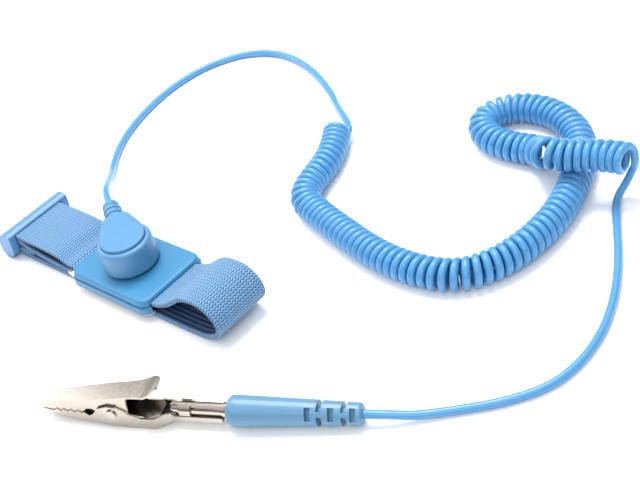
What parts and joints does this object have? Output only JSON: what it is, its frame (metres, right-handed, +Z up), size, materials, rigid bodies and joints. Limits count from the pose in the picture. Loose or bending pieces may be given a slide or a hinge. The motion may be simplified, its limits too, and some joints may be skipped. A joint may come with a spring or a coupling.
{
  "type": "esd wrist strap",
  "caption": "Elastic wrist strap with a snap plate and slider, a snap connector, a curly earthing cord, and a banana plug that holds an alligator clip.",
  "frame": {"origin": "on the resting surface, at the mount rest_face, under the webbing and the snap plate, 1.4 mm from the middle of the flattened wristband", "axes": "+X along the flattened band from the slider to the bare fold, +Z up from the resting surface, +Y across the band towards the side that the cord lies on"},
  "size_m": [0.239, 0.1896, 0.0216],
  "materials": {
    "band_webbing": "woven elastic webbing, pale blue outside, dark conductive inside",
    "thread": "polyester stitches",
    "slider_plastic": "moulded, satin",
    "plate_plastic": "moulded, fine satin",
    "plate_steel": "stamped stainless steel",
    "snap_nickel": "nickel plated",
    "spring_wire": "drawn spring wire",
    "connector_plastic": "moulded, fine satin",
    "relief_rubber": "soft moulded",
    "resistor_coat": "lacquered",
    "tinned_wire": "tinned copper",
    "contact_brass": "stamped brass",
    "cord_jacket": "glossy polyurethane",
    "boot_plastic": "soft moulded vinyl, satin",
    "plug_nickel": "nickel plated",
    "clip_steel": "bright nickel on pressed steel"
  },
  "bodies": {
    "root": {"band_top_right": "band_webbing", "band_right_fold": "band_webbing", "band_bottom": "band_webbing", "band_bottom_left": "band_webbing", "band_top_left": "band_webbing", "band_return": "band_webbing", "plate_cover": "plate_plastic", "back_plate": "plate_steel", "snap_stud": "snap_nickel", "stud_rivet": "snap_nickel", "lead_drop": "cord_jacket", "lead_on_table": "cord_jacket", "coil_1": "cord_jacket", "coil_2": "cord_jacket", "coil_3": "cord_jacket", "coil_4": "cord_jacket", "coil_5": "cord_jacket", "coil_6": "cord_jacket", "coil_7": "cord_jacket", "coil_8": "cord_jacket", "coil_9": "cord_jacket", "tail": "cord_jacket", "plug_boot": "boot_plastic", "banana_pin": "plug_nickel"},
    "slider": {"slider_buckle": "slider_plastic", "band_left_fold": "band_webbing", "band_end_loop": "band_webbing", "end_stitches": "thread"},
    "socket": {"snap_socket": "snap_nickel", "socket_spring": "spring_wire"},
    "connector": {"connector_base": "connector_plastic", "connector_cover": "connector_plastic", "connector_lid": "connector_plastic", "safety_resistor": "resistor_coat", "resistor_leads": "tinned_wire", "socket_tag": "contact_brass", "cord_crimp": "contact_brass", "connector_relief": "relief_rubber", "lead_near": "cord_jacket"},
    "sleeve": {"contact_sleeve": "plug_nickel"},
    "clip": {"clip_lower_jaw": "clip_steel", "clip_rivet": "clip_steel", "clip_spring": "spring_wire"},
    "jaw": {"clip_upper_jaw": "clip_steel"}
  },
  "joints": [
    {"name": "slider_slide", "type": "slide", "parent": "root", "child": "slider", "axis": [1, 0, 0], "range_m": [0, 0.008], "deforming": ["band_top_left", "band_return", "band_bottom_left"]},
    {"name": "connector_unsnap", "type": "slide", "parent": "root", "child": "socket", "axis": [0, 0, 1], "range_m": [0, 0.008], "deforming": ["lead_drop"]},
    {"name": "connector_swivel", "type": "hinge", "parent": "socket", "child": "connector", "pos_m": [0.0067, 0, 0.011], "axis": [0, 0, 1], "range_deg": [-15, 12], "deforming": ["lead_near"]},
    {"name": "clip_turn", "type": "hinge", "parent": "root", "child": "sleeve", "pos_m": [0.07605, -0.03439, 0.0053], "axis": [-0.9135, -0.4067, 0], "range_deg": [-30, 30]},
    {"name": "clip_pull", "type": "slide", "parent": "sleeve", "child": "clip", "axis": [-0.9135, -0.4067, 0], "range_m": [0, 0.02]},
    {"name": "jaw_open", "type": "hinge", "parent": "clip", "child": "jaw", "pos_m": [0.05002, -0.04598, 0.0054], "axis": [-0.4067, 0.9135, 0], "range_deg": [0, 22], "stiffness_Nm_per_rad": 0.02, "springref_deg": -34.38, "deforming": ["clip_spring"]}
  ]
}
